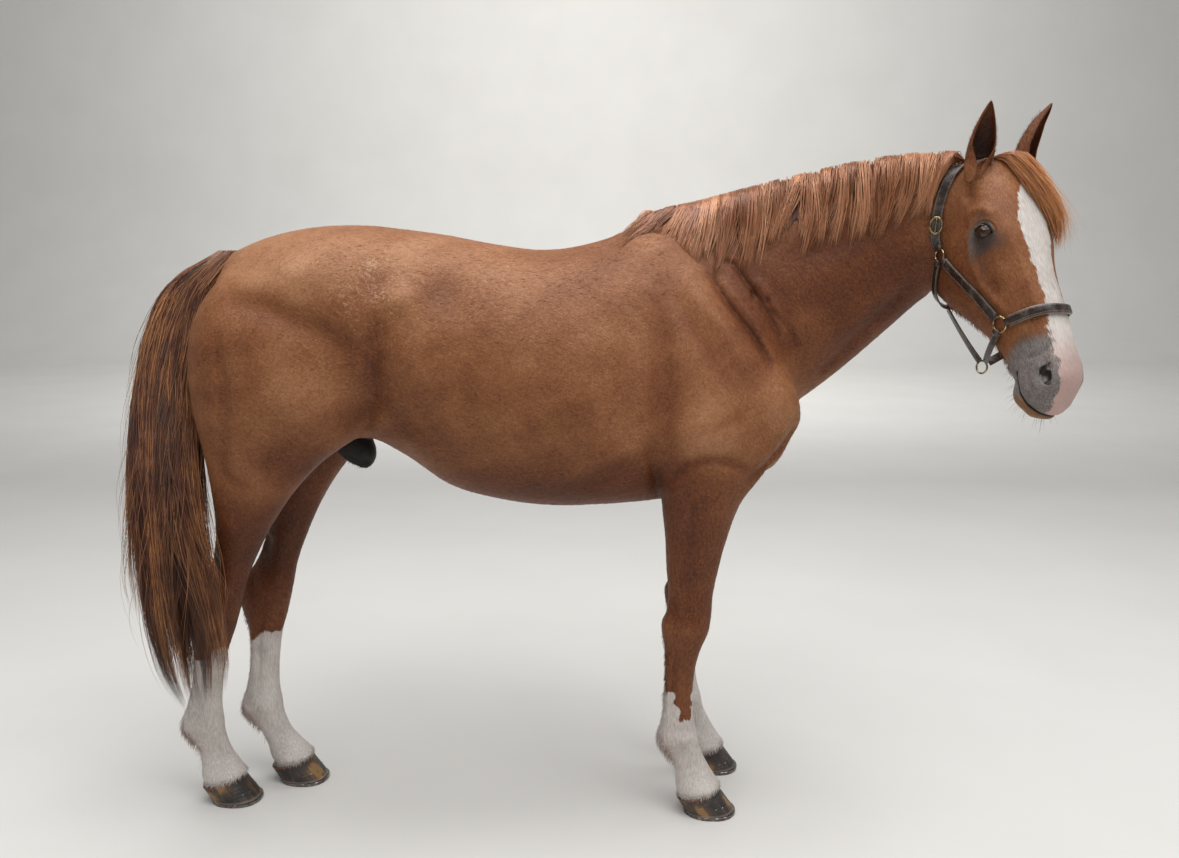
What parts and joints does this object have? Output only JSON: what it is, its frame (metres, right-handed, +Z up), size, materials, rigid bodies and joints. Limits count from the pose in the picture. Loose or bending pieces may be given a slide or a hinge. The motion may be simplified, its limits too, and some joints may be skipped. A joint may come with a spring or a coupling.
{
  "type": "horse",
  "caption": "Life-size standing riding horse with its head turned to its right, white stockings, a white blaze and a leather headcollar.",
  "frame": {"origin": "on the floor, under the middle of the horse's box as seen from above", "axes": "+X towards the horse's front, +Y to its left, +Z up"},
  "size_m": [2.4125, 0.7426, 1.9145],
  "materials": {
    "coat": "short glossy chestnut hair",
    "stocking": "short white hair over pink skin",
    "mane_hair": "long copper hair",
    "tail_hair": "long dark red-brown hair",
    "hoof_horn": "dark streaked horn, satin",
    "shoe_steel": "worn grey steel",
    "dark_skin": "bare dark grey skin",
    "eye": "wet, dark brown",
    "leather": "dark brown stitched leather, worn",
    "brass": "dull polish"
  },
  "bodies": {
    "root": {"trunk": "coat", "neck": "coat", "head": "coat", "leg_fore_right": "coat", "stocking_fore_right": "stocking", "hoof_fore_right": "hoof_horn", "shoe_fore_right": "shoe_steel", "leg_fore_left": "coat", "stocking_fore_left": "stocking", "hoof_fore_left": "hoof_horn", "shoe_fore_left": "shoe_steel", "leg_hind_right": "coat", "stocking_hind_right": "stocking", "hoof_hind_right": "hoof_horn", "shoe_hind_right": "shoe_steel", "leg_hind_left": "coat", "stocking_hind_left": "stocking", "hoof_hind_left": "hoof_horn", "shoe_hind_left": "shoe_steel", "ear_right": "coat", "ear_left": "coat", "eye_right": "eye", "eye_left": "eye", "mane": "mane_hair", "forelock": "mane_hair", "tail": "tail_hair", "sheath": "dark_skin", "halter_noseband": "leather", "halter_cheek_right": "leather", "halter_crown_right": "leather", "halter_chin_right": "leather", "halter_cheek_left": "leather", "halter_crown_left": "leather", "halter_chin_left": "leather", "halter_throat": "leather", "halter_link": "leather", "ring_cheek_right": "brass", "ring_upper_right": "brass", "ring_cheek_left": "brass", "ring_upper_left": "brass", "ring_chin": "brass", "buckle_crown": "brass"}
  },
  "joints": []
}
